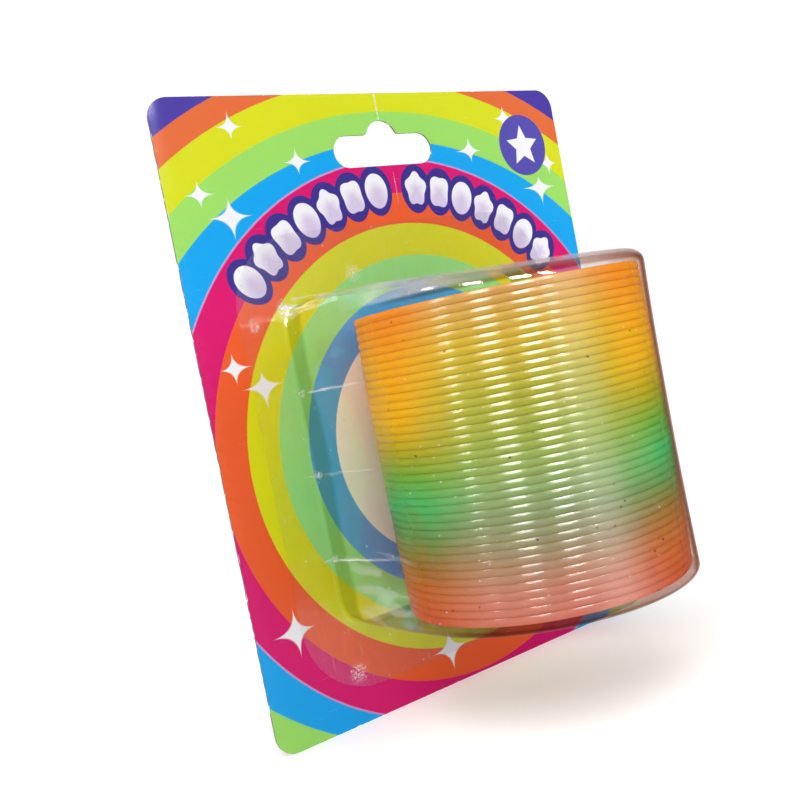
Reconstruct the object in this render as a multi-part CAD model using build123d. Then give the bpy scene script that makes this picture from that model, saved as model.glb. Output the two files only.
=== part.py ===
"""Plastic spring coil toy in its hanging retail pack.

Three real pieces: a printed backing card with a hang slot, a clear thermoformed
blister sealed to its front, and one closed coil of flat plastic strip inside.
The coil is written as one solid per turn, so that its turns can spread.

Frame, in millimetres: +X right, +Y into the card's back, +Z up. The origin is
the middle of the hang slot on the card's back face, so the coil is in front,
at negative Y.
"""
import os
from math import acos, atan2, cos, hypot, sin

from build123d import *

# Backing card
CARD_WIDTH = 130.0
CARD_TOP = 15.3
CARD_BOTTOM = -143.9
CARD_THICKNESS = 0.5
CARD_CORNER_RADIUS = 5.5

# Hang slot: a long round-ended slot with a round bump for a single peg
SLOT_WIDTH = 32.0
SLOT_HEIGHT = 8.4
SLOT_BUMP_RADIUS = 5.0
SLOT_BUMP_TOP = 7.9
SLOT_BLEND_RADIUS = 1.2

# Coil: flat strip wound edge to edge into a closed cylinder
COIL_TURNS = 39
COIL_PITCH = 1.83
COIL_AXIAL_GAP = 0.08
COIL_OUTER_RADIUS = 34.6
STRIP_DEPTH = 4.4
STRIP_EDGE_CHAMFER = 0.4
STRIP_END_GAP_DEG = 0.25
COIL_START_DEG = 85.0
COIL_AXIS_X = -2.3
COIL_CARD_CLEARANCE = 0.8
COIL_BOTTOM = -116.2

# Blister: one clear sheet, formed into a D-shaped dome with a flat sealing flange
SHEET_THICKNESS = 0.4
SEAL_GAP = 0.03
DOME_COIL_CLEARANCE = 0.4
DOME_BASE_FLARE = 3.0
DOME_TOP_AT_CARD = -36.9
DOME_TOP_AT_FRONT = -41.0
DOME_BOTTOM_AT_CARD = -118.7
DOME_BOTTOM_AT_FRONT = -117.4
DOME_EDGE_RADIUS = 2.2
ROOT_RADIUS_OUTSIDE = 0.8
FLANGE_WIDTH = 101.2
FLANGE_TOP = -19.4
FLANGE_BOTTOM = -135.4
FLANGE_CORNER_RADIUS = 19.4

# Worked out from the above
CARD_FRONT_Y = -CARD_THICKNESS
COIL_AXIS_Y = CARD_FRONT_Y - COIL_CARD_CLEARANCE - COIL_OUTER_RADIUS
STRIP_HEIGHT = COIL_PITCH - COIL_AXIAL_GAP
FLANGE_BACK_Y = CARD_FRONT_Y - SEAL_GAP
FLANGE_FRONT_Y = FLANGE_BACK_Y - SHEET_THICKNESS
DOME_RADIUS = COIL_OUTER_RADIUS + DOME_COIL_CLEARANCE + SHEET_THICKNESS
DOME_FRONT_Y = COIL_AXIS_Y - DOME_RADIUS


def upright_sketch(sketch, y):
    """A sketch drawn in X and Z, stood up at depth y; extruding it goes towards -Y."""
    return Plane(origin=(0, y, 0), x_dir=(1, 0, 0), z_dir=(0, -1, 0)) * sketch


def backing_card():
    """Die-cut card with its hang slot."""
    height = CARD_TOP - CARD_BOTTOM
    middle = (CARD_TOP + CARD_BOTTOM) / 2
    outline = Pos(0, middle) * RectangleRounded(CARD_WIDTH, height, CARD_CORNER_RADIUS)
    slot = SlotOverall(SLOT_WIDTH, SLOT_HEIGHT)
    slot += Pos(0, SLOT_BUMP_TOP - SLOT_BUMP_RADIUS) * Circle(SLOT_BUMP_RADIUS)
    shoulders = [v for v in slot.vertices() if abs(v.Y - SLOT_HEIGHT / 2) < 0.01]
    shoulders = [v for v in shoulders if abs(v.X) < SLOT_BUMP_RADIUS]
    slot = fillet(shoulders, SLOT_BLEND_RADIUS)
    return extrude(upright_sketch(outline - slot, 0), CARD_THICKNESS)


def coil_turn(index):
    """One turn of the strip, counted from 0 at the bottom."""
    sweep_deg = 360 - STRIP_END_GAP_DEG
    middle_radius = COIL_OUTER_RADIUS - STRIP_DEPTH / 2
    rise = COIL_PITCH * sweep_deg / 360
    path = Helix(pitch=COIL_PITCH, height=rise, radius=middle_radius)
    section = Rectangle(STRIP_DEPTH, STRIP_HEIGHT)
    section = chamfer(section.vertices(), STRIP_EDGE_CHAMFER)
    start = Plane(origin=(middle_radius, 0, 0), x_dir=(1, 0, 0), z_dir=(0, 1, 0))
    strip = sweep(start * section, path=path, is_frenet=True)
    place = Pos(COIL_AXIS_X, COIL_AXIS_Y, COIL_BOTTOM + STRIP_HEIGHT / 2 + COIL_PITCH * index)
    return place * Rot(0, 0, COIL_START_DEG) * strip


def dome_solid(inset, back_y):
    """The dome as a full solid, with every wall moved in by inset, from back_y forwards."""
    radius = DOME_RADIUS - inset
    half_base = DOME_RADIUS + DOME_BASE_FLARE - inset
    depth = back_y - COIL_AXIS_Y
    reach = hypot(half_base, depth)
    touch = atan2(depth, half_base) - acos(radius / reach)
    corner = (half_base, depth)
    tangent = (radius * cos(touch), radius * sin(touch))

    def mirrored(point):
        return (-point[0], point[1])

    plan = make_face(
        Line(mirrored(corner), corner)
        + Line(corner, tangent)
        + ThreePointArc(tangent, (0, -radius), mirrored(tangent))
        + Line(mirrored(tangent), mirrored(corner))
    )
    tall = DOME_TOP_AT_CARD - DOME_BOTTOM_AT_CARD + 20
    column = extrude(Pos(COIL_AXIS_X, COIL_AXIS_Y, DOME_BOTTOM_AT_CARD - 10) * plan, tall)

    front = DOME_FRONT_Y - 10
    stretch = (front - FLANGE_FRONT_Y) / (DOME_FRONT_Y - FLANGE_FRONT_Y)
    top_front = DOME_TOP_AT_CARD + (DOME_TOP_AT_FRONT - DOME_TOP_AT_CARD) * stretch
    bottom_front = DOME_BOTTOM_AT_CARD + (DOME_BOTTOM_AT_FRONT - DOME_BOTTOM_AT_CARD) * stretch
    side = Plane(origin=(COIL_AXIS_X, 0, 0), x_dir=(0, 1, 0), z_dir=(1, 0, 0)) * make_face(
        Polyline(
            (back_y, DOME_TOP_AT_CARD - inset),
            (front, top_front - inset),
            (front, bottom_front + inset),
            (back_y, DOME_BOTTOM_AT_CARD + inset),
            close=True,
        )
    )
    dome = column & extrude(side, 60, both=True)
    lids = dome.faces().sort_by(Axis.Z)
    rims = [e for lid in (lids[0], lids[-1]) for e in lid.edges()]
    rims = [e for e in rims if e.center().Y < back_y - 0.01]
    return fillet(rims, DOME_EDGE_RADIUS - inset)


def root_edges(sheet, y):
    """The edges at depth y where the dome's walls meet the flange."""
    found = []
    for edge in sheet.edges():
        middle = edge.center()
        flat = edge.bounding_box().size.Y < 0.01 and abs(middle.Y - y) < 0.01
        beside = abs(middle.X - COIL_AXIS_X) < DOME_RADIUS + 2 * DOME_BASE_FLARE
        level = DOME_BOTTOM_AT_CARD - 1 < middle.Z < DOME_TOP_AT_CARD + 1
        if flat and beside and level:
            found.append(edge)
    return found


def blister():
    """Clear sheet: sealing flange and dome in one solid of even thickness."""
    height = FLANGE_TOP - FLANGE_BOTTOM
    middle = (FLANGE_TOP + FLANGE_BOTTOM) / 2
    outline = Pos(COIL_AXIS_X, middle) * RectangleRounded(
        FLANGE_WIDTH, height, FLANGE_CORNER_RADIUS
    )
    flange = extrude(upright_sketch(outline, FLANGE_BACK_Y), SHEET_THICKNESS)
    outer = flange + dome_solid(0, FLANGE_BACK_Y)
    outer = fillet(root_edges(outer, FLANGE_FRONT_Y), ROOT_RADIUS_OUTSIDE)
    sheet = outer - dome_solid(SHEET_THICKNESS, FLANGE_BACK_Y)
    return fillet(root_edges(sheet, FLANGE_BACK_Y), ROOT_RADIUS_OUTSIDE + 0.75 * SHEET_THICKNESS)


def main():
    os.makedirs("parts", exist_ok=True)
    pieces = {"backing_card": backing_card(), "blister": blister()}
    for index in range(COIL_TURNS):
        pieces[f"coil_turn_{index + 1:02d}"] = coil_turn(index)
    for name, piece in pieces.items():
        export_step(piece, f"parts/{name}.step")
        print(name, round(piece.volume, 2))


main()
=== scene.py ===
"""Looks of the spring coil toy in its hanging pack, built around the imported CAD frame.

Every size here is in millimetres in the row frame, and meshes are scaled to metres as they
are made. Heights marked as print heights are measured from the middle of the card's print.
"""
import math

import bmesh
import bpy
import numpy as np
from mathutils import Matrix, Vector


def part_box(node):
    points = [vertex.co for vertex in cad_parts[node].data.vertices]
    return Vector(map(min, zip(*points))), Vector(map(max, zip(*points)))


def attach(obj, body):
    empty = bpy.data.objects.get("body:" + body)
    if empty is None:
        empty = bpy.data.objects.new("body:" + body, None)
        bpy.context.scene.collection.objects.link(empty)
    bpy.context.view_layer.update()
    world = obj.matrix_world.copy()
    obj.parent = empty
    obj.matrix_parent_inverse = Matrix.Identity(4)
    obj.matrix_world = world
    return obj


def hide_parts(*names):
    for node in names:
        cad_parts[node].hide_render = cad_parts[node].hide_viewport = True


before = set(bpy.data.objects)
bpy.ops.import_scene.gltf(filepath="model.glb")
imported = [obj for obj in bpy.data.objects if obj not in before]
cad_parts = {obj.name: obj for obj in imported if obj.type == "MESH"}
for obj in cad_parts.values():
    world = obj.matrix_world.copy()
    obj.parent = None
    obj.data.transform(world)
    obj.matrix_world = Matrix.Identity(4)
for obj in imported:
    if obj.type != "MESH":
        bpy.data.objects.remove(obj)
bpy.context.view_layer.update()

MM = 0.001


def box_mm(node):
    """Lowest and highest corner of a CAD node, in millimetres."""
    low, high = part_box(node)
    return np.array(low) / MM, np.array(high) / MM


# Places taken from the frame
CARD_LOW, CARD_HIGH = box_mm("backing_card")
FLANGE_LOW, FLANGE_HIGH = box_mm("blister")
TURN_NODES = sorted(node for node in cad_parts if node.startswith("coil_turn_"))
TURN_LOW, TURN_HIGH = box_mm(TURN_NODES[0])
COIL_X, COIL_Y = (TURN_LOW[:2] + TURN_HIGH[:2]) / 2
COIL_RADIUS = (TURN_HIGH[0] - TURN_LOW[0]) / 2
COIL_PITCH = box_mm(TURN_NODES[1])[0][2] - TURN_LOW[2]

# Sizes that the frame doesn't give by itself
PRINT_CENTRE_Z = -77.4
CARD_CORNER = 5.5
CARD_EDGE_ROUND = 0.06
CARD_THICKNESS = CARD_HIGH[1] - CARD_LOW[1]
SLOT_HALF_LENGTH = 16.0
SLOT_HALF_HEIGHT = 4.2
BUMP_RADIUS = 5.0
BUMP_Z = 2.9
BUMP_BLEND = 1.2
STRIP_DEPTH = 4.4
STRIP_GAP = 0.03
COIL_START_DEG = 85.0
TURN_END_GAP_DEG = 0.25
SHEET_THICKNESS = 0.30
SEAL_GAP = 0.05
DOME_CLEARANCE = 0.50
DOME_RADIUS = COIL_RADIUS + DOME_CLEARANCE
DOME_FLARE = 3.0
DOME_FOOT_CORNER = 7.0
DOME_EDGE_TOP = 3.0
DOME_EDGE_BOTTOM = 1.9
ROOT_RADIUS = 0.9
FLANGE_CORNER = 19.4
# Height of the dome's top and bottom edges at depths from the card
DOME_TOP = (
    (0.0, -36.9),
    (19.0, -37.1),
    (33.0, -37.8),
    (46.0, -39.2),
    (60.0, -40.9),
    (72.0, -42.0),
)
DOME_BOTTOM = ((0.0, -118.7), (40.0, -117.9), (72.0, -117.0))
CREASE_HEIGHTS = (17.9, -2.4, -23.9)
# The coil and the dome are widest at a print height of SWELL_MIDDLE, by SWELL_MOST more than their
# own sizes, and SWELL_REACH above and below it they are narrower than that by SWELL_LOSS
SWELL_MIDDLE = -2.0
SWELL_REACH = 35.0
SWELL_MOST = 0.12
SWELL_LOSS = 0.45
# Print heights beyond which the dome is clear of the coil
RIM_TOP = 34.2
RIM_BOTTOM = -38.8


def ink(red, green, blue):
    """A linear colour from the usual 0 to 255 numbers."""
    linear = []
    for value in (red, green, blue):
        share = value / 255
        linear.append(share / 12.92 if share < 0.04045 else ((share + 0.055) / 1.055) ** 2.4)
    return (*linear, 1.0)


# ---------------------------------------------------------------- material maths


class Field:
    """A value inside a material's node tree, on which ordinary arithmetic adds Math nodes."""

    def __init__(self, tree, socket):
        self.tree = tree
        self.socket = socket

    def maths(self, operation, *others):
        node = self.tree.nodes.new("ShaderNodeMath")
        node.operation = operation
        for place, value in enumerate((self, *others)):
            feed(node.inputs[place], value)
        return Field(self.tree, node.outputs[0])

    def __add__(self, other):
        return self.maths("ADD", other)

    def __sub__(self, other):
        return self.maths("SUBTRACT", other)

    def __rsub__(self, other):
        return (self * -1.0).maths("ADD", other)

    def __mul__(self, other):
        return self.maths("MULTIPLY", other)

    def __truediv__(self, other):
        return self.maths("DIVIDE", other)

    def __abs__(self):
        return self.maths("ABSOLUTE")

    def power(self, exponent):
        return self.maths("POWER", exponent)

    def least(self, other):
        return self.maths("MINIMUM", other)

    def most(self, other):
        return self.maths("MAXIMUM", other)

    def step(self, low, high):
        """0 below low and 1 above high, smooth between; low above high turns it round."""
        node = self.tree.nodes.new("ShaderNodeMapRange")
        node.interpolation_type = "SMOOTHSTEP"
        feed(node.inputs["Value"], self)
        node.inputs["From Min"].default_value = min(low, high)
        node.inputs["From Max"].default_value = max(low, high)
        node.inputs["To Min"].default_value = 0.0 if low < high else 1.0
        node.inputs["To Max"].default_value = 1.0 if low < high else 0.0
        return Field(self.tree, node.outputs["Result"])

    def spread(self, low, high):
        """Carries 0 to 1 over to low to high."""
        return self * (high - low) + low


def feed(socket, value):
    """Links a field to an input, or sets the input to a plain value."""
    if isinstance(value, Field):
        value.tree.links.new(value.socket, socket)
    else:
        socket.default_value = value


class Paint:
    """A material being built: its node tree, and short ways to what these materials use."""

    def __init__(self, name):
        self.material = bpy.data.materials.new(name)
        self.material.use_nodes = True
        self.tree = self.material.node_tree
        self.tree.nodes.clear()
        self.coordinates = self.tree.nodes.new("ShaderNodeTexCoord")
        place = self.tree.nodes.new("ShaderNodeSeparateXYZ")
        self.tree.links.new(self.coordinates.outputs["Object"], place.inputs[0])
        self.x, self.y, self.z = (Field(self.tree, out) * (1 / MM) for out in place.outputs)

    def noise(self, size, detail=2.0, stretch=(1, 1, 1), roughness=0.5):
        """Smooth noise of 0 to 1, its features about size mm across and longer along a stretched axis."""
        mapping = self.tree.nodes.new("ShaderNodeMapping")
        self.tree.links.new(self.coordinates.outputs["Object"], mapping.inputs["Vector"])
        mapping.inputs["Scale"].default_value = [1 / factor for factor in stretch]
        node = self.tree.nodes.new("ShaderNodeTexNoise")
        node.inputs["Scale"].default_value = 1 / (size * MM)
        node.inputs["Detail"].default_value = detail
        node.inputs["Roughness"].default_value = roughness
        self.tree.links.new(mapping.outputs[0], node.inputs["Vector"])
        return Field(self.tree, node.outputs["Fac"])

    def cells(self, size):
        """Distance from the nearest of scattered points about size mm apart, as a share of size."""
        node = self.tree.nodes.new("ShaderNodeTexVoronoi")
        node.inputs["Scale"].default_value = 1 / (size * MM)
        self.tree.links.new(self.coordinates.outputs["Object"], node.inputs["Vector"])
        return Field(self.tree, node.outputs["Distance"])

    def attribute(self, name):
        node = self.tree.nodes.new("ShaderNodeAttribute")
        node.attribute_name = name
        return Field(self.tree, node.outputs["Fac"])

    def mix(self, share, first, second):
        """The first colour at share 0 and the second at 1."""
        node = self.tree.nodes.new("ShaderNodeMix")
        node.data_type = "RGBA"
        feed(node.inputs[0], share)
        feed(node.inputs[6], first)
        feed(node.inputs[7], second)
        return Field(self.tree, node.outputs[2])

    def darken(self, colour, share):
        """The colour times a number, which may be a field."""
        node = self.tree.nodes.new("ShaderNodeMix")
        node.data_type = "RGBA"
        node.blend_type = "MULTIPLY"
        node.inputs[0].default_value = 1.0
        feed(node.inputs[6], colour)
        feed(node.inputs[7], share)
        return Field(self.tree, node.outputs[2])

    def ramp(self, value, stops):
        """A colour ramp over (place, colour) stops."""
        low, high = stops[0][0], stops[-1][0]
        node = self.tree.nodes.new("ShaderNodeValToRGB")
        feed(node.inputs[0], (value - low) / (high - low))
        elements = node.color_ramp.elements
        while len(elements) < len(stops):
            elements.new(0.5)
        for element, (place, colour) in zip(elements, stops):
            element.position = (place - low) / (high - low)
            element.color = colour
        return Field(self.tree, node.outputs[0])

    def bump(self, height, depth_mm):
        """A normal from a height field of 0 to 1."""
        node = self.tree.nodes.new("ShaderNodeBump")
        node.inputs["Distance"].default_value = depth_mm * MM
        feed(node.inputs["Height"], height)
        return Field(self.tree, node.outputs[0])

    def shader(self, kind, **inputs):
        """A shader node with its inputs set by name, where _ stands for a space."""
        node = self.tree.nodes.new(kind)
        for name, value in inputs.items():
            feed(node.inputs[name.replace("_", " ")], value)
        return Field(self.tree, node.outputs[0])

    def layered(self, share, below, above):
        node = self.tree.nodes.new("ShaderNodeMixShader")
        feed(node.inputs[0], share)
        feed(node.inputs[1], below)
        feed(node.inputs[2], above)
        return Field(self.tree, node.outputs[0])

    def finish(self, surface):
        output = self.tree.nodes.new("ShaderNodeOutputMaterial")
        self.tree.links.new(surface.socket, output.inputs["Surface"])
        return self.material


# ---------------------------------------------------------------- print on the card

PURPLE = ink(72, 58, 160)
DISC_PURPLE = ink(83, 76, 172)
TITLE_PURPLE = ink(58, 46, 140)
LAVENDER = ink(205, 190, 225)
PAPER_WHITE = ink(236, 238, 244)
# Outer rings from the outside in: how far up each reaches, and its colour
OUTER_RINGS = (
    (102.1, ink(222, 106, 56)),
    (96.1, ink(211, 217, 22)),
    (87.7, ink(152, 217, 100)),
    (79.7, ink(0, 162, 236)),
)
OUTER_WIDENING = 1.10
# Inner rings, which are round: radius and colour
INNER_RINGS = (
    (75.0, ink(196, 150, 205)),
    (74.6, ink(212, 12, 108)),
    (65.7, ink(232, 92, 42)),
    (57.4, ink(212, 214, 20)),
    (48.8, ink(150, 222, 126)),
    (40.5, ink(72, 164, 218)),
    (32.6, ink(250, 242, 226)),
)
# Sparkles: place across and up, then reach up, down, left and right
SPARKLES = (
    (-48.9, 63.3, 5.1, 5.9, 6.4, 6.0),
    (-53.9, -38.3, 6.0, 6.5, 6.7, 5.4),
    (-44.6, 85.1, 4.2, 3.4, 3.8, 3.8),
    (-56.1, 69.2, 3.6, 3.4, 3.9, 4.5),
    (-27.6, 75.6, 3.8, 3.3, 4.4, 4.5),
    (-56.2, 27.2, 4.1, 4.1, 4.0, 5.1),
    (-49.3, 21.8, 4.0, 6.0, 6.0, 5.9),
    (29.7, 75.7, 4.3, 3.2, 5.5, 4.5),
    (54.2, 63.7, 3.6, 5.4, 7.3, 6.7),
    (-10.1, -57.1, 5.5, 6.2, 6.2, 6.0),
    (59.2, 70.6, 3.6, 3.8, 4.0, 3.6),
    (44.9, 84.6, 4.0, 4.2, 4.0, 4.0),
)
DISC = (50.3, 76.5, 9.0)
# The arched band of blobs: its middle radius, and each group's ends in degrees from the top
BAND_RADIUS = 66.8
BAND_GROUPS = ((-48.5, -1.0), (3.5, 49.0))
BLOBS_PER_GROUP = 7
BLOB_HALF_HEIGHT = 4.7
BLOB_NARROWING = 0.74
BLOB_BORDER = 2.0
INK_EDGE = 0.12


def sparkle(x, z, centre_x, centre_z, up, down, left, right):
    """1 inside a four-pointed sparkle with hollow sides."""
    across = x - centre_x
    upward = z - centre_z
    reach_across = (across / right).most(across / -left)
    reach_up = (upward / up).most(upward / -down)
    return (reach_across.power(0.5) + reach_up.power(0.5)).step(1.06, 0.93)


def star(x, z, centre_x, centre_z, outer, inner):
    """1 inside an upright five-pointed star."""
    across = x - centre_x
    upward = z - centre_z
    point = 2 * math.pi / 5
    turned = across.maths("ARCTAN2", upward) + point * 2.5
    folded = abs(turned.maths("FLOORED_MODULO", point) - point / 2)
    radius = (across * across + upward * upward).power(0.5)
    along = radius * folded.maths("COSINE")
    aside = radius * folded.maths("SINE")
    inner_along = inner * math.cos(point / 2)
    inner_aside = inner * math.sin(point / 2)
    length = math.hypot(outer - inner_along, inner_aside)
    distance = (along * inner_aside + aside * (outer - inner_along)) / length
    return (distance - outer * inner_aside / length).step(INK_EDGE, -INK_EDGE)


def blob_band(radius, degrees):
    """How far a point is outside the blobs and outside their dark border, and how far up a blob it is."""
    right_side = degrees.step(1.2, 1.3)
    left, right = BAND_GROUPS
    width = (left[1] - left[0]) / BLOBS_PER_GROUP
    start = right_side * (right[0] - left[0]) + left[0]
    count = ((degrees - start) / width).most(0.0).least(BLOBS_PER_GROUP - 0.001).maths("FLOOR")
    middle = start + (count + 0.5) * width
    across = (degrees - middle) * (math.radians(1) * BAND_RADIUS / BLOB_NARROWING)
    upward = radius - BAND_RADIUS
    reach = (across * across + upward * upward).power(0.5)
    angle = across.maths("ARCTAN2", upward)
    kind = (count + right_side).maths("FLOORED_MODULO", 3.0)
    lobing = kind.least(1.0) * 0.45
    petals = (angle * (6.0 - kind) + (kind - 1.0) * math.pi).maths("COSINE")
    outline = petals * lobing - lobing * 0.6 + BLOB_HALF_HEIGHT
    return reach - outline, reach - (BLOB_HALF_HEIGHT + BLOB_BORDER), upward


def card_print():
    """Glossy printed front: rings, sparkles and a band of blobs, worn at the edge and at the fold."""
    paint = Paint("printed_front")
    x = paint.x
    z = paint.z - PRINT_CENTRE_Z
    wobble = (paint.noise(1.2) - 0.5) * 0.15
    narrowed = x / OUTER_WIDENING
    outer_radius = (narrowed * narrowed + z * z).power(0.5) + wobble
    inner_radius = (x * x + z * z).power(0.5) + wobble
    colour = PURPLE
    for radius, tint in OUTER_RINGS:
        colour = paint.mix(outer_radius.step(radius + INK_EDGE, radius - INK_EDGE), colour, tint)
    for radius, tint in INNER_RINGS:
        colour = paint.mix(inner_radius.step(radius + INK_EDGE, radius - INK_EDGE), colour, tint)

    degrees = x.maths("ARCTAN2", z) * math.degrees(1)
    outside_blob, outside_border, upward = blob_band(inner_radius, degrees)
    colour = paint.mix(outside_border.step(INK_EDGE, -INK_EDGE), colour, TITLE_PURPLE)
    blob_colour = paint.mix((upward + outside_blob).step(-6.0, 1.5), LAVENDER, PAPER_WHITE)
    colour = paint.mix(outside_blob.step(INK_EDGE, -INK_EDGE), colour, blob_colour)

    white = None
    for place in SPARKLES:
        shape = sparkle(x, z, *place)
        white = shape if white is None else white.most(shape)
    colour = paint.mix(white, colour, PAPER_WHITE)
    disc_x, disc_z, disc_radius = DISC
    across = x - disc_x
    upward = z - disc_z
    disc = (across * across + upward * upward).power(0.5)
    on_disc = disc.step(disc_radius + INK_EDGE, disc_radius - INK_EDGE)
    colour = paint.mix(on_disc, colour, DISC_PURPLE)
    colour = paint.mix(star(x, z, disc_x, disc_z - 0.3, 6.2, 2.9), colour, PAPER_WHITE)

    half_width = CARD_HIGH[0]
    from_side = abs(x) * -1.0 + half_width
    from_end = (paint.z - CARD_LOW[2]).least(paint.z * -1.0 + CARD_HIGH[2])
    from_edge = from_side.least(from_end)
    wear = paint.noise(1.6, detail=4.0, stretch=(1, 1, 2.5))
    chipped = (wear * 1.5 - from_edge).step(0.80, 0.95)
    fold_side = (abs(x + (paint.noise(5.0) - 0.5) * 0.5)).step(0.3, 0.08)
    above_slot = (paint.z).step(7.6, 8.2)
    fold = fold_side * above_slot * paint.noise(0.7, detail=3.0).step(0.30, 0.55)
    colour = paint.mix(chipped.most(fold * 0.75), colour, ink(232, 232, 235))
    grain = paint.noise(0.5, detail=3.0) * 0.5 + paint.noise(14.0) * 0.5
    # Painted shade: the print grows darker towards the bottom of the card.
    painted_shade_below = z.step(-75.0, 25.0).spread(0.80, 1.0)
    colour = paint.darken(colour, grain.spread(0.93, 1.05) * painted_shade_below)

    scratches = paint.noise(0.5, detail=2.0, stretch=(18, 1, 1.5)).step(0.66, 0.74)
    gloss = paint.noise(6.0, detail=3.0).spread(0.16, 0.30) + scratches * 0.1 + chipped * 0.4
    height = paint.noise(2.2, detail=2.0) + paint.noise(0.3) * 0.15
    return paint.finish(
        paint.shader(
            "ShaderNodeBsdfPrincipled",
            Base_Color=colour,
            Roughness=gloss,
            Normal=paint.bump(height, 0.02),
            Specular_IOR_Level=0.25,
        )
    )


def board_material(name, chipped):
    """The card's uncoated grey board: fibres, flecks and dust, and pale chips on its cut edges."""
    paint = Paint(name)
    fibres = paint.noise(0.35, detail=6.0, stretch=(1.0, 1.0, 4.0), roughness=0.7)
    clouds = paint.noise(9.0, detail=4.0)
    colour = paint.mix(clouds, ink(138, 134, 130), ink(158, 155, 150))
    colour = paint.mix(fibres.step(0.45, 0.75) * 0.6, colour, ink(112, 106, 102))
    flecks = paint.cells(3.1).step(0.10, 0.06) * paint.noise(4.0).step(0.5, 0.6)
    colour = paint.mix(flecks, colour, ink(95, 84, 76))
    if chipped:
        chips = paint.noise(2.6, detail=3.0).step(0.60, 0.64)
        # The cut edge is darker grey than the back: partly the board's grey core, partly painted shade
        # along the edge.
        colour = paint.mix(chips, ink(96, 92, 96), ink(225, 222, 222))
    return paint.finish(
        paint.shader(
            "ShaderNodeBsdfPrincipled",
            Base_Color=colour,
            Roughness=fibres.spread(0.75, 0.95),
            Normal=paint.bump(fibres + paint.noise(0.12) * 0.5, 0.05),
        )
    )


# ---------------------------------------------------------------- coil and blister materials

# Down the coil's sides: print height and colour
SIDE_COLOURS = (
    (-38.0, ink(196, 84, 40)),
    (-33.0, ink(200, 96, 40)),
    (-28.0, ink(190, 104, 40)),
    (-22.0, ink(156, 114, 44)),
    (-15.0, ink(102, 150, 78)),
    (-9.0, ink(72, 184, 102)),
    (-3.0, ink(112, 174, 56)),
    (3.0, ink(176, 170, 14)),
    (12.0, ink(242, 182, 2)),
    (22.0, ink(254, 172, 1)),
    (33.0, ink(252, 144, 18)),
)
# Down the side that faces the camera: the dye's colours there, paler and greyer as a painted veil of
# reflected light
FRONT_COLOURS_AND_VEIL = (
    (-38.0, ink(208, 122, 104)),
    (-33.0, ink(208, 132, 112)),
    (-28.0, ink(190, 140, 112)),
    (-22.0, ink(164, 150, 116)),
    (-15.0, ink(148, 164, 116)),
    (-9.0, ink(150, 178, 112)),
    (-3.0, ink(158, 182, 92)),
    (3.0, ink(172, 184, 74)),
    (12.0, ink(192, 186, 56)),
    (22.0, ink(222, 190, 54)),
    (33.0, ink(226, 170, 92)),
)
FRONT_AZIMUTH = -126.0
FRONT_HALF_WIDTH = 54.0


def coil_material():
    """Dyed, slightly cloudy gloss plastic: bands of colour along the coil and round it, paler on the
    camera side as a painted veil of reflected light, with painted shade in the grooves.
    """
    paint = Paint("dyed_plastic")
    z = paint.z - PRINT_CENTRE_Z
    across = paint.x - COIL_X
    along = paint.y - COIL_Y
    azimuth = along.maths("ARCTAN2", across) * math.degrees(1)
    from_front = abs((azimuth - (FRONT_AZIMUTH - 180.0)).maths("FLOORED_MODULO", 360.0) - 180.0)
    drift = (paint.noise(16.0) - 0.5) * 7.0
    side = paint.ramp(z + drift - across * 0.05, SIDE_COLOURS)
    # Painted reflection: the side facing the camera takes paler colours, partly the dye and partly a veil
    # of reflected light.
    front = paint.ramp(z + drift * 0.6, FRONT_COLOURS_AND_VEIL)
    soft = (paint.noise(20.0) - 0.5) * 16.0
    colour = paint.mix((from_front + soft).step(FRONT_HALF_WIDTH, 18.0), side, front)
    ridge = paint.attribute("ridge")
    streaks = paint.noise(0.8, detail=3.0, stretch=(5, 5, 1))
    colour = paint.darken(colour, streaks.spread(0.92, 1.06))
    # Painted shade: the colour darkens and warms towards the grooves between the turns.
    groove_shade = paint.darken(colour, ink(255, 240, 205))
    colour = paint.mix(ridge.step(0.92, 0.70), colour, groove_shade)
    black = paint.cells(2.6).step(0.13, 0.08) * paint.noise(6.0).step(0.57, 0.62)
    colour = paint.mix(black * ridge.step(0.3, 0.6), colour, ink(40, 28, 16))
    roughness = paint.noise(1.1, detail=3.0).spread(0.11, 0.20) + from_front.step(48.0, 75.0) * 0.3
    return paint.finish(
        paint.shader(
            "ShaderNodeBsdfPrincipled",
            Base_Color=colour,
            Roughness=roughness,
            Normal=paint.bump(streaks + paint.noise(0.25) * 0.3, 0.03),
            IOR=1.5,
            Specular_IOR_Level=0.40,
            Subsurface_Weight=0.5,
            Subsurface_Radius=(1.0, 0.8, 0.5),
            Subsurface_Scale=0.0014,
        )
    )


# Scuffs where the sheet is sealed to the card, painted white partly as highlights off their embossed
# grit: place across and up, and size
SCUFFS = ((-48.9, 36.5, 2.6), (-39.5, -53.6, 3.2), (-40.3, 39.8, 2.4), (-18.0, 46.0, 3.0))
# Highlights along the dome's upper foot corner: ends across, print height and half width
CRINKLES = ((-42.0, -26.0, 39.8, 0.5), (-41.5, -29.0, 38.0, 0.35), (-38.0, -16.0, 41.5, 0.3))


def near_any(x, z, places):
    """1 near the middle of any of the places, fading out over their size."""
    found = None
    for centre_x, centre_z, size in places:
        across = x - centre_x
        upward = z - centre_z
        near = (across * across + upward * upward).power(0.5).step(size, size * 0.3)
        found = near if found is None else found.most(near)
    return found


def lid_share(depth, z):
    """1 on the dome's milky upper lid, fading out towards the card and the front."""
    return z.step(34.6, 35.6) * depth.step(18.0, 44.0) * depth.step(76.0, 50.0)


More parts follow.
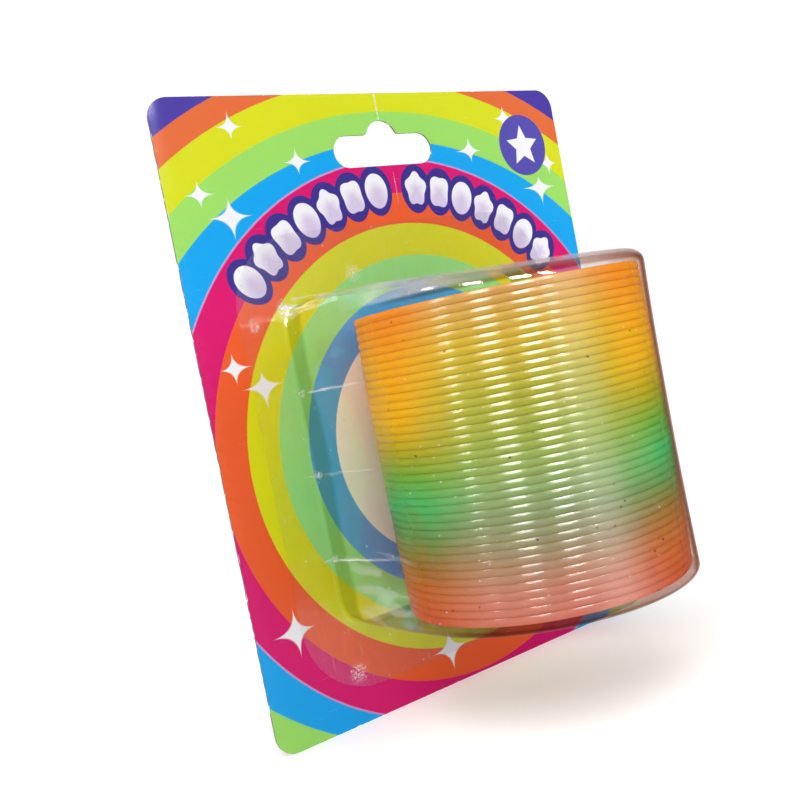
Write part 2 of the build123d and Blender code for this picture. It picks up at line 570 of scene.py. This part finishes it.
def sheet_whiteness(paint, x, depth, z):
    """How milky the sheet is: scuffs, scratches, painted crease highlights, white specks and a faint
    haze.
    """
    grit = paint.noise(0.5, detail=4.0).step(0.52, 0.62)
    # Scuffs at the seal, white partly as painted highlights.
    white = near_any(x, z, SCUFFS) * grit * 0.5
    scratch = paint.noise(0.35, detail=1.0, stretch=(1, 1, 22)).step(0.70, 0.78)
    # Small white specks scattered over the sheet.
    specks = paint.cells(3.6).step(0.06, 0.035) * paint.noise(7.0).step(0.43, 0.48)
    white = white + scratch * 0.10 + specks * 0.7 + paint.noise(12.0, 3.0).spread(0.0, 0.005)

    left_wall = (x * -1.0 + COIL_X).step(24.0, 28.0)
    streaky = paint.noise(2.5, detail=3.0, stretch=(4, 6, 1)).step(0.36, 0.60)
    bend = (paint.noise(7.0) - 0.5) * 1.2
    # Painted highlights: white lines along the creases and glints where they meet the foot.
    for crease in CREASE_HEIGHTS:
        away = abs(z - crease + bend - depth * 0.03)
        near_card = x.step(-44.0, -41.0) * depth.step(33.0, 10.0)
        line = away.step(0.50, 0.06) * near_card * streaky
        glint = away.step(1.5, 0.3) * depth.step(0.6, 1.3) * depth.step(4.5, 2.5) * grit
        white = white + (line * 0.42 + glint * 0.8) * left_wall
    on_flange = depth.step(4.0, 1.5)
    wavy = paint.noise(1.6, detail=2.0, stretch=(4, 1, 1))
    for left, right, height, half_width in CRINKLES:
        along = x.step(left, left + 2.0) * x.step(right, right - 8.0)
        line = abs(z - height + (wavy - 0.5) * 1.6).step(half_width * 1.6, half_width * 0.4)
        white = white + along * line * wavy.step(0.36, 0.56) * on_flange * 0.6
    patches = paint.noise(3.5, detail=2.0, stretch=(1, 4, 1)).step(0.50, 0.66)
    low_down = z.step(-18.0, -25.0) * depth.step(6.0, 10.0) * depth.step(34.0, 26.0)
    white = white + patches * left_wall * low_down * 0.10
    veil = paint.noise(3.5, detail=4.0, stretch=(6, 2, 1)).spread(0.0, 0.40)
    white = white + lid_share(depth, z) * veil
    return white.least(0.9)


def sheet_tint(paint, slant, depth, z):
    """What the sheet lets through: warm where a wall turns away, and at the rims; duller at the foot."""
    clear = ink(254, 254, 254)
    wall = z.step(36.0, 34.6) * z.step(RIM_BOTTOM - 0.8, RIM_BOTTOM + 0.2)
    tint = paint.mix(slant.step(0.68, 0.92) * wall, clear, ink(224, 174, 136))
    rim = z.step(RIM_TOP - 0.4, RIM_TOP + 0.4).most(z.step(RIM_BOTTOM + 0.4, RIM_BOTTOM - 0.4))
    forward = depth.step(34.0, 52.0)
    tint = paint.darken(tint, paint.mix(rim * forward, clear, ink(232, 212, 205)))
    foot = depth.step(0.8, 1.6) * depth.step(8.5, 6.0)
    return paint.darken(tint, paint.mix(foot, clear, ink(234, 236, 222)))


def sheet_material():
    """Clear thin sheet: straight-through, and a mirror that strengthens at a slant."""
    paint = Paint("clear_sheet")
    weight = paint.tree.nodes.new("ShaderNodeLayerWeight")
    weight.inputs["Blend"].default_value = 0.5
    slant = Field(paint.tree, weight.outputs["Facing"])
    depth = paint.y * -1.0 + CARD_LOW[1]
    z = paint.z - PRINT_CENTRE_Z
    mirror = (slant.power(6.0) * 0.65 + 0.045) * lid_share(depth, z).spread(1.0, 0.4)
    clear = paint.shader("ShaderNodeBsdfTransparent", Color=sheet_tint(paint, slant, depth, z))
    milk = paint.shader("ShaderNodeBsdfDiffuse", Color=ink(240, 242, 245), Roughness=0.6)
    body = paint.layered(sheet_whiteness(paint, paint.x, depth, z), clear, milk)
    ripple = paint.noise(4.0, detail=3.0) + paint.noise(0.9) * 0.15
    shine = paint.shader(
        "ShaderNodeBsdfGlossy",
        Color=(1.0, 1.0, 1.0, 1.0),
        Roughness=paint.noise(3.0, detail=3.0).spread(0.03, 0.10),
        Normal=paint.bump(ripple, 0.07),
    )
    path = paint.tree.nodes.new("ShaderNodeLightPath")
    lamp = Field(paint.tree, path.outputs["Is Shadow Ray"])
    lit = lamp.most(Field(paint.tree, path.outputs["Is Diffuse Ray"]))
    open_way = paint.shader("ShaderNodeBsdfTransparent", Color=(1.0, 1.0, 1.0, 1.0))
    return paint.finish(paint.layered(lit, paint.layered(mirror, body, shine), open_way))


# ---------------------------------------------------------------- meshes


def new_piece(name, points, faces, materials, sharp_deg=35.0):
    """A mesh object from points in millimetres, smooth but for its sharp edges."""
    mesh = bpy.data.meshes.new(name)
    mesh.from_pydata(np.asarray(points) * MM, [], faces)
    return finished_piece(name, mesh, materials, sharp_deg)


def finished_piece(name, mesh, materials, sharp_deg):
    for material in materials:
        mesh.materials.append(material)
    mesh.polygons.foreach_set("use_smooth", [True] * len(mesh.polygons))
    mesh.set_sharp_from_angle(angle=math.radians(sharp_deg))
    piece = bpy.data.objects.new(name, mesh)
    bpy.context.scene.collection.objects.link(piece)
    return piece


def grid_faces(rows, columns, start=0, around=False, flip=False):
    """Quads of a grid of points numbered row by row."""
    faces = []
    for row in range(rows - 1):
        for column in range(columns if around else columns - 1):
            following = (column + 1) % columns
            corners = (
                start + row * columns + column,
                start + row * columns + following,
                start + (row + 1) * columns + following,
                start + (row + 1) * columns + column,
            )
            faces.append(corners[::-1] if flip else corners)
    return faces


def arc(centre, radius, start_deg, end_deg, steps):
    angles = np.radians(np.linspace(start_deg, end_deg, steps + 1))
    return [(centre[0] + radius * math.cos(a), centre[1] + radius * math.sin(a)) for a in angles]


def card_outline(rng):
    """The card's outline, anticlockwise from the lower right corner, its left edge slightly frayed."""
    right = CARD_HIGH[0] - CARD_CORNER
    top = CARD_HIGH[2] - CARD_CORNER
    bottom = CARD_LOW[2] + CARD_CORNER
    outline = arc((right, bottom), CARD_CORNER, -90, 0, 10)
    outline += arc((right, top), CARD_CORNER, 0, 90, 10)
    outline += arc((-right, top), CARD_CORNER, 90, 180, 10)
    for height in np.arange(top - 1.0, bottom, -1.2):
        nick = 0.16 * rng.random() ** 3
        outline.append((CARD_LOW[0] + nick, height + 0.3 * rng.random()))
    return outline + arc((-right, bottom), CARD_CORNER, 180, 270, 10)


def slot_outline():
    """The hang slot: round ends, and a round bump blended into its top edge."""
    end = SLOT_HALF_LENGTH - SLOT_HALF_HEIGHT
    rise = SLOT_HALF_HEIGHT + BUMP_BLEND - BUMP_Z
    blend_x = math.sqrt((BUMP_RADIUS + BUMP_BLEND) ** 2 - rise**2)
    slope = math.degrees(math.atan2(rise, blend_x))
    blend_z = SLOT_HALF_HEIGHT + BUMP_BLEND
    outline = arc((end, 0), SLOT_HALF_HEIGHT, -90, 90, 16)
    outline += arc((blend_x, blend_z), BUMP_BLEND, 270, 180 + slope, 6)
    outline += arc((0, BUMP_Z), BUMP_RADIUS, slope, 180 - slope, 24)
    outline += arc((-blend_x, blend_z), BUMP_BLEND, -slope, -90, 6)
    return outline + arc((-end, 0), SLOT_HALF_HEIGHT, 90, 270, 16)


CARD_FRONT, CARD_BACK, CARD_CUT = range(3)
CARD_CELL = 4.0
FOLD_HALF_WIDTH = 0.7


def card_mesh():
    """The card as a thin slab with softened edges, cut into a fine grid and gently bowed."""
    rng = np.random.default_rng(7)
    curve = bpy.data.curves.new("card_outline", "CURVE")
    curve.dimensions = "2D"
    curve.fill_mode = "BOTH"
    curve.extrude = (CARD_THICKNESS / 2 - CARD_EDGE_ROUND) * MM
    curve.bevel_depth = CARD_EDGE_ROUND * MM
    curve.bevel_resolution = 1
    curve.offset = -CARD_EDGE_ROUND * MM
    for outline in (card_outline(rng), slot_outline()):
        spline = curve.splines.new("POLY")
        spline.points.add(len(outline) - 1)
        for point, (x, z) in zip(spline.points, outline):
            point.co = (x * MM, z * MM, 0, 1)
        spline.use_cyclic_u = True
    holder = bpy.data.objects.new("card_outline", curve)
    bpy.context.scene.collection.objects.link(holder)
    bpy.context.view_layer.update()
    evaluated = holder.evaluated_get(bpy.context.evaluated_depsgraph_get())
    mesh = bpy.data.meshes.new_from_object(evaluated)
    bpy.data.objects.remove(holder)
    bpy.data.curves.remove(curve)
    mesh.materials.clear()
    middle_y = (CARD_LOW[1] + CARD_HIGH[1]) / 2
    mesh.transform(Matrix.Translation((0, middle_y * MM, 0)) @ Matrix.Rotation(math.pi / 2, 4, "X"))

    grid = bmesh.new()
    grid.from_mesh(mesh)
    bmesh.ops.remove_doubles(grid, verts=grid.verts, dist=1e-6)
    columns = list(np.arange(CARD_LOW[0] + CARD_CELL, CARD_HIGH[0], CARD_CELL))
    columns += [FOLD_HALF_WIDTH * share for share in (-1.0, -0.5, 0.0, 0.5, 1.0)]
    rows = np.arange(CARD_LOW[2] + CARD_CELL, CARD_HIGH[2], CARD_CELL)
    cuts = [((x, 0, 0), (1, 0, 0)) for x in columns] + [((0, 0, z), (0, 0, 1)) for z in rows]
    for place, normal in cuts:
        everything = grid.verts[:] + grid.edges[:] + grid.faces[:]
        bmesh.ops.bisect_plane(
            grid, geom=everything, dist=1e-7, plane_co=Vector(place) * MM, plane_no=normal
        )
    for vertex in grid.verts:
        x, _, z = vertex.co / MM
        crease = 0.10 * max(0.0, 1 - abs(x) / FOLD_HALF_WIDTH) * (z > BUMP_Z + BUMP_RADIUS - 0.5)
        wave = 0.05 * math.sin(x / 21) * math.sin((z + 20) / 34)
        vertex.co.y += (wave - crease) * MM
    bmesh.ops.recalc_face_normals(grid, faces=grid.faces)
    for face in grid.faces:
        if face.normal.y < -0.5:
            face.material_index = CARD_FRONT
        elif face.normal.y > 0.5:
            face.material_index = CARD_BACK
        else:
            face.material_index = CARD_CUT
    grid.to_mesh(mesh)
    grid.free()
    return mesh


# Counts of points round each outline of the sheet, and of outlines along it
WALL_STEPS = 84
CORNER_STEPS = 8
LID_STEPS = 36
FLANGE_OUTLINES = 14
WALL_OUTLINES = 25
FRONT_OUTLINES = 62


def swell(height):
    """How much wider than their own sizes the coil and the dome are at a print height."""
    return SWELL_MOST - SWELL_LOSS * ((height - SWELL_MIDDLE) / SWELL_REACH) ** 2


def quarter(centre, reach, start_deg, end_deg):
    """Points along a quarter of an ellipse, without its two ends."""
    angles = np.radians(np.linspace(start_deg, end_deg, CORNER_STEPS + 2)[1:-1])
    return [(centre[0] + reach[0] * math.cos(a), centre[1] + reach[1] * math.sin(a)) for a in angles]


def edge_loop(left, right, bottom, top, upper, lower):
    """A rounded outline clockwise from the lower left wall, always with the same count of points.

    Upper and lower give those corners' reach across and up.
    """
    heights = np.linspace(bottom + lower[1], top - upper[1], WALL_STEPS)
    points = [(left, height) for height in heights]
    points += quarter((left + upper[0], top - upper[1]), upper, 180, 90)
    points += [(x, top) for x in np.linspace(left + upper[0], right - upper[0], LID_STEPS)]
    points += quarter((right - upper[0], top - upper[1]), upper, 90, 0)
    points += [(right, height) for height in heights[::-1]]
    points += quarter((right - lower[0], bottom + lower[1]), lower, 0, -90)
    points += [(x, bottom) for x in np.linspace(right - lower[0], left + lower[0], LID_STEPS)]
    points += quarter((left + lower[0], bottom + lower[1]), lower, 270, 180)
    return np.array(points)


def dome_stations():
    """Half of the dome's D-shaped plan, from its foot to its front: place and outward direction."""
    radius = DOME_RADIUS
    foot_x = radius + DOME_FLARE
    foot_y = flange_front() - ROOT_RADIUS - COIL_Y
    reach = math.hypot(foot_x, foot_y)
    touch = math.atan2(foot_y, foot_x) - math.acos(radius / reach)
    touch_x, touch_y = radius * math.cos(touch), radius * math.sin(touch)
    wall = math.hypot(foot_x - touch_x, foot_y - touch_y)
    outward = ((foot_y - touch_y) / wall, -(foot_x - touch_x) / wall)
    stations = []
    for share in np.linspace(0, 1, WALL_OUTLINES + 1)[:-1]:
        x = foot_x + share * (touch_x - foot_x)
        y = foot_y + share * (touch_y - foot_y)
        stations.append((x, y, *outward))
    for angle in np.linspace(touch, -math.pi / 2, FRONT_OUTLINES):
        out_x, out_y = math.cos(angle), math.sin(angle)
        stations.append((radius * out_x, radius * out_y, out_x, out_y))
    return stations


def flange_front():
    """Depth of the sealing flange's front face."""
    return CARD_LOW[1] - SEAL_GAP - SHEET_THICKNESS


def level(profile, y):
    """Height of the dome's top or bottom edge at depth y."""
    depths, heights = zip(*profile)
    return float(np.interp(CARD_LOW[1] - y, depths, heights))


def foot_rings():
    """Rings from the flange's edge to the rounded root of the dome, each an outline at one depth."""
    front = flange_front()
    radius = DOME_RADIUS + DOME_FLARE
    top, bottom = DOME_TOP[0][1], DOME_BOTTOM[0][1]
    rings = []
    for share in np.linspace(1, 0, FLANGE_OUTLINES):
        grow = ROOT_RADIUS
        left = (COIL_X - radius - grow) * (1 - share) + FLANGE_LOW[0] * share
        right = (COIL_X + radius + grow) * (1 - share) + FLANGE_HIGH[0] * share
        low = (bottom - grow) * (1 - share) + FLANGE_LOW[2] * share
        high = (top + grow) * (1 - share) + FLANGE_HIGH[2] * share
        corner = (DOME_FOOT_CORNER + grow) * (1 - share) + FLANGE_CORNER * share
        outline = edge_loop(left, right, low, high, (corner, corner), (corner, corner))
        rings.append(np.column_stack([outline[:, 0], np.full(len(outline), front), outline[:, 1]]))
    for angle in np.radians((68, 45, 22)):
        grow = ROOT_RADIUS * (1 - math.cos(angle))
        y = front - ROOT_RADIUS * (1 - math.sin(angle))
        corner = (DOME_FOOT_CORNER + grow, DOME_FOOT_CORNER + grow)
        left, right = COIL_X - radius - grow, COIL_X + radius + grow
        outline = edge_loop(left, right, bottom - grow, top + grow, corner, corner)
        rings.append(np.column_stack([outline[:, 0], np.full(len(outline), y), outline[:, 1]]))
    return rings


def tucked(distance, corner):
    """How far a rounded edge draws in at a distance from the lid that it leads to."""
    share = np.clip(distance, 0, corner) / corner
    return corner * (1 - np.sqrt(1 - (1 - share) ** 2))


def dome_rings():
    """Rings over the dome, one for each station of its plan; the last has no width."""
    rings = []
    foot_depth = dome_stations()[0][1]
    for x, y, out_x, out_y in dome_stations():
        footing = math.exp((y - foot_depth) / 11.0)
        upper = DOME_EDGE_TOP + (DOME_FOOT_CORNER - DOME_EDGE_TOP) * footing
        lower = DOME_EDGE_BOTTOM + (DOME_FOOT_CORNER - DOME_EDGE_BOTTOM) * footing
        top = level(DOME_TOP, COIL_Y + y - upper * out_y)
        bottom = level(DOME_BOTTOM, COIL_Y + y - lower * out_y)
        outline = edge_loop(-x, x, bottom, top, (upper * out_x, upper), (lower * out_x, lower))
        below_top = tucked(top - outline[:, 1], upper)
        above_bottom = tucked(outline[:, 1] - bottom, lower)
        depth_y = COIL_Y + y - np.maximum(below_top, above_bottom) * out_y
        rings.append(np.column_stack([COIL_X + outline[:, 0], depth_y, outline[:, 1]]))
    return rings


def sheet_marks(points):
    """How far the formed sheet stands out of its true shape: soft bulges, creases and dents."""
    x, y, z = points[..., 0], points[..., 1], points[..., 2]
    depth = CARD_LOW[1] - y
    height = z - PRINT_CENTRE_Z
    on_dome = np.clip((depth - 1.5) / 6.0, 0, 1)
    on_wall = np.clip((height + 37) / 8, 0, 1) * np.clip((33 - height) / 8, 0, 1)
    beside = np.clip(1 - (depth - 2) / 34, 0, 1)
    out = 0.06 * np.sin(x / 9.0 + 1.3 * np.sin(z / 17)) * np.sin(z / 11.0 + y / 13.0) * on_dome
    out += 0.45 * np.sin((height + 6) / 6.4) * beside * on_dome * on_wall
    for crease in CREASE_HEIGHTS:
        slanted = height - crease - 0.05 * depth
        out -= 0.55 * np.exp(-((slanted / 0.9) ** 2)) * beside * on_wall * np.clip(depth / 3, 0, 1)
        out += 0.25 * np.exp(-(((slanted - 2.2) / 1.4) ** 2)) * beside * on_wall * on_dome
    near_corner = np.exp(-(((x - FLANGE_LOW[0] - 12) / 6) ** 2 + ((height - 39) / 3) ** 2))
    out += 0.18 * np.sin(x * 2.1 + z * 1.3) * near_corner * on_dome
    return out


def surface_normals(grid):
    """Outward normals of a grid of points that closes in its second direction."""
    around = np.roll(grid, -1, axis=1) - np.roll(grid, 1, axis=1)
    along = np.gradient(grid, axis=0)
    normals = np.cross(around, along)
    return normals / np.maximum(np.linalg.norm(normals, axis=2, keepdims=True), 1e-9)


def blister_mesh():
    """Outer and inner faces of the formed sheet, joined round the flange's edge."""
    grid = np.array(foot_rings() + dome_rings())
    normals = surface_normals(grid)
    closing = normals[-2] * (0.0, 1.0, 1.0)
    normals[-1] = closing / np.linalg.norm(closing, axis=1, keepdims=True)
    outer = grid + normals * sheet_marks(grid)[..., None]
    forward = np.clip((CARD_LOW[1] - grid[..., 1]) / 30.0, 0, 1)
    swelling = swell(grid[..., 2] - PRINT_CENTRE_Z) * forward
    outer = outer + normals * (1.0, 1.0, 0.0) * swelling[..., None]
    inner = outer - surface_normals(outer) * SHEET_THICKNESS
    inner[-1] = outer[-1] - normals[-1] * SHEET_THICKNESS
    rows, columns = grid.shape[:2]
    faces = grid_faces(rows, columns, around=True)
    faces += grid_faces(rows, columns, start=rows * columns, around=True, flip=True)
    for column in range(columns):
        following = (column + 1) % columns
        shift = rows * columns
        faces.append((following, column, column + shift, following + shift))
    mesh = bpy.data.meshes.new("formed_blister")
    points = np.concatenate([outer.reshape(-1, 3), inner.reshape(-1, 3)])
    mesh.from_pydata(points * MM, [], faces)
    sheet = bmesh.new()
    sheet.from_mesh(mesh)
    bmesh.ops.remove_doubles(sheet, verts=sheet.verts, dist=0.01 * MM)
    bmesh.ops.dissolve_degenerate(sheet, dist=0.001 * MM, edges=sheet.edges)
    bmesh.ops.recalc_face_normals(sheet, faces=sheet.faces)
    sheet.to_mesh(mesh)
    sheet.free()
    return mesh


STRIP_STEPS = 180
# Section of the strip: distance in from the outer edge, and height as a share of the half height
STRIP_SECTION = (
    (STRIP_DEPTH, 0.0),
    (STRIP_DEPTH - 0.08, 0.6),
    (STRIP_DEPTH - 0.40, 1.0),
    (0.80, 1.0),
    (0.27, 0.99),
    (0.235, 0.93),
    (0.195, 0.82),
    (0.145, 0.66),
    (0.088, 0.47),
    (0.032, 0.27),
    (0.008, 0.12),
    (0.0, 0.0),
)


def coil_wander(turn):
    """How far the strip strays sideways and up at a place along the coil, in turns from the bottom."""
    sideways = 0.04 * math.sin(turn * 2.3 + 1.0) + 0.025 * math.sin(turn * 7.1)
    sideways += 0.02 * math.sin(turn * 17.9)
    upwards = 0.004 * math.sin(turn * 3.7) + 0.003 * math.sin(turn * 9.3 + 0.6)
    return sideways, upwards


def coil_piece(index, node, material):
    """One turn of the strip, with a crowned outer edge."""
    turns = 1.0 - TURN_END_GAP_DEG / 360
    half_height = (COIL_PITCH - STRIP_GAP) / 2
    section = [(inwards, height) for inwards, height in STRIP_SECTION]
    section += [(inwards, -height) for inwards, height in STRIP_SECTION[-2:0:-1]]
    points = []
    ridge = []
    for step in range(STRIP_STEPS + 1):
        turn = step / STRIP_STEPS * turns
        angle = math.radians(COIL_START_DEG) + turn * 2 * math.pi
        sideways, upwards = coil_wander(index + turn)
        middle = TURN_LOW[2] + half_height + upwards + COIL_PITCH * (index + turn)
        outer_radius = COIL_RADIUS + 0.02 + sideways + swell(middle - PRINT_CENTRE_Z)
        for inwards, height in section:
            radius = outer_radius - inwards
            points.append(
                (
                    COIL_X + radius * math.cos(angle),
                    COIL_Y + radius * math.sin(angle),
                    middle + half_height * height,
                )
            )
            ridge.append(max(0.0, 1 - inwards / 1.0))
    columns = len(section)
    faces = grid_faces(STRIP_STEPS + 1, columns, around=True, flip=True)
    faces.append(tuple(range(columns)))
    faces.append(tuple(range(STRIP_STEPS * columns, (STRIP_STEPS + 1) * columns))[::-1])
    piece = new_piece(f"strip_{index + 1:02d}", points, faces, [material], sharp_deg=60.0)
    outward = piece.data.attributes.new("ridge", "FLOAT", "POINT")
    outward.data.foreach_set("value", ridge)
    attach(piece, f"turn_{index + 1:02d}")
    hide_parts(node)


# ---------------------------------------------------------------- stage, light and camera

CAMERA_PLACE = (-164.17, -222.30, -53.47)
CAMERA_TURN_DEG = -34.68
CAMERA_TILT_DEG = 87.27
CAMERA_ROLL_DEG = -11.16
CAMERA_LENS = 45.86
CAMERA_AZIMUTH = -130.97
LIGHT_DISTANCE = 1000.0
SURROUNDINGS_LIGHT = 0.64
SURROUNDINGS_SEEN = 1.05
SURROUNDINGS_MIRRORED = 0.04
# Soft windows seen in reflections: bearing from the camera's, half width, lowest and highest rise,
# and strength
WINDOWS = (
    (52.0, 32.0, -0.5, 0.6, 0.95),
    (-10.0, 9.0, 0.05, 0.7, 1.2),
    (180.0, 40.0, -0.6, 0.5, 0.55),
)
# Ceiling strips that only show in reflections: bearing from the camera's, height in degrees,
# width, height and power
STRIPS = (
    (23.6, 32.0, 220.0, 340.0, 10.0),
    (-11.7, 32.0, 210.0, 340.0, 7.5),
    (44.8, 32.0, 90.0, 340.0, 3.4),
    (-47.3, 32.0, 110.0, 340.0, 3.2),
)
# Fill lights that leave no reflection, given in the same way
FILLS = (
    (5.0, 52.0, 600.0, 600.0, 4.7),
    (95.0, 12.0, 600.0, 600.0, 3.5),
    (-82.0, 12.0, 500.0, 500.0, 2.6),
)


def area_light(name, bearing_deg, height_deg, width, height, power):
    """A rectangular light turned to the coil's middle, placed round its axis."""
    light = bpy.data.lights.new(name, "AREA")
    light.shape = "RECTANGLE"
    light.size = width * MM
    light.size_y = height * MM
    light.energy = power
    lamp = bpy.data.objects.new(name, light)
    bpy.context.scene.collection.objects.link(lamp)
    bearing = math.radians(CAMERA_AZIMUTH + bearing_deg)
    up = math.radians(height_deg)
    away = Vector((math.cos(bearing) * math.cos(up), math.sin(bearing) * math.cos(up), math.sin(up)))
    lamp.location = Vector((COIL_X, COIL_Y, PRINT_CENTRE_Z)) * MM + away * LIGHT_DISTANCE * MM
    lamp.rotation_euler = (-away).to_track_quat("-Z", "Y").to_euler()
    return lamp


def surroundings():
    """White all round for the camera and for light; dim in reflections but for the soft windows."""
    world = bpy.data.worlds.new("studio")
    bpy.context.scene.world = world
    world.use_nodes = True
    tree = world.node_tree
    tree.nodes.clear()
    ray = tree.nodes.new("ShaderNodeTexCoord")
    parts = tree.nodes.new("ShaderNodeSeparateXYZ")
    tree.links.new(ray.outputs["Generated"], parts.inputs[0])
    across, along, up = (Field(tree, out) for out in parts.outputs)
    azimuth = along.maths("ARCTAN2", across) * math.degrees(1)
    mirrored = None
    for bearing, half_width, low, high, strength in WINDOWS:
        turned = (azimuth - (CAMERA_AZIMUTH + bearing - 180.0)).maths("FLOORED_MODULO", 360.0) - 180.0
        pane = abs(turned).step(half_width, 0.0)
        pane = pane * up.step(low - 0.1, low + 0.1) * up.step(high + 0.1, high - 0.1) * strength
        mirrored = pane if mirrored is None else mirrored + pane
    mirrored = mirrored + SURROUNDINGS_MIRRORED
    path = tree.nodes.new("ShaderNodeLightPath")
    seen = Field(tree, path.outputs["Is Camera Ray"])
    glossy = Field(tree, path.outputs["Is Glossy Ray"])
    strength = glossy * (mirrored - SURROUNDINGS_LIGHT) + SURROUNDINGS_LIGHT
    strength = strength + seen * (SURROUNDINGS_SEEN - SURROUNDINGS_LIGHT)
    background = tree.nodes.new("ShaderNodeBackground")
    background.inputs["Color"].default_value = (1.0, 1.0, 1.0, 1.0)
    feed(background.inputs["Strength"], strength)
    output = tree.nodes.new("ShaderNodeOutputWorld")
    tree.links.new(background.outputs[0], output.inputs["Surface"])


def studio():
    """Pale floor, soft white surroundings and the strips of light above."""
    floor = bmesh.new()
    bmesh.ops.create_grid(floor, x_segments=24, y_segments=24, size=3.0)
    mesh = bpy.data.meshes.new("floor")
    floor.to_mesh(mesh)
    floor.free()
    paint = Paint("pale_floor")
    tone = paint.noise(30.0, detail=3.0)
    matt = paint.shader(
        "ShaderNodeBsdfPrincipled",
        Base_Color=paint.mix(tone, ink(248, 248, 249), ink(252, 252, 252)),
        Roughness=0.85,
        Emission_Color=(1.0, 1.0, 1.0, 1.0),
        Emission_Strength=0.22,
    )
    distance = (paint.x * paint.x + paint.y * paint.y).power(0.5)
    open_air = paint.shader("ShaderNodeBsdfTransparent", Color=(1.0, 1.0, 1.0, 1.0))
    paint.finish(paint.layered(distance.step(120.0, 380.0), matt, open_air))
    mesh.materials.append(paint.material)
    ground = bpy.data.objects.new("floor", mesh)
    ground.location = (0, 0, CARD_LOW[2] * MM)
    bpy.context.scene.collection.objects.link(ground)
    ground.visible_glossy = False

    surroundings()
    for number, strip in enumerate(STRIPS):
        area_light(f"strip_light_{number + 1}", *strip).visible_diffuse = False
    for number, fill in enumerate(FILLS):
        area_light(f"fill_light_{number + 1}", *fill).visible_glossy = False


def camera():
    data = bpy.data.cameras.new("camera")
    data.lens = CAMERA_LENS
    data.sensor_width = 36.0
    data.clip_start = 0.01
    eye = bpy.data.objects.new("camera", data)
    bpy.context.scene.collection.objects.link(eye)
    turn = Matrix.Rotation(math.radians(CAMERA_TURN_DEG), 4, "Z")
    tilt = Matrix.Rotation(math.radians(CAMERA_TILT_DEG), 4, "X")
    roll = Matrix.Rotation(math.radians(CAMERA_ROLL_DEG), 4, "Z")
    eye.matrix_world = Matrix.Translation(Vector(CAMERA_PLACE) * MM) @ turn @ tilt @ roll
    bpy.context.scene.camera = eye


# ---------------------------------------------------------------- the object

card_faces = [card_print(), board_material("grey_board", False), board_material("cut_edge", True)]
card = finished_piece("printed_card", card_mesh(), card_faces, 35.0)
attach(card, "card")
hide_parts("backing_card")

blister = finished_piece("formed_blister", blister_mesh(), [sheet_material()], 50.0)
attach(blister, "blister")
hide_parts("blister")

dyed = coil_material()
for number, turn_node in enumerate(TURN_NODES):
    coil_piece(number, turn_node, dyed)

studio()
camera()
bpy.context.scene.view_settings.view_transform = "Standard"
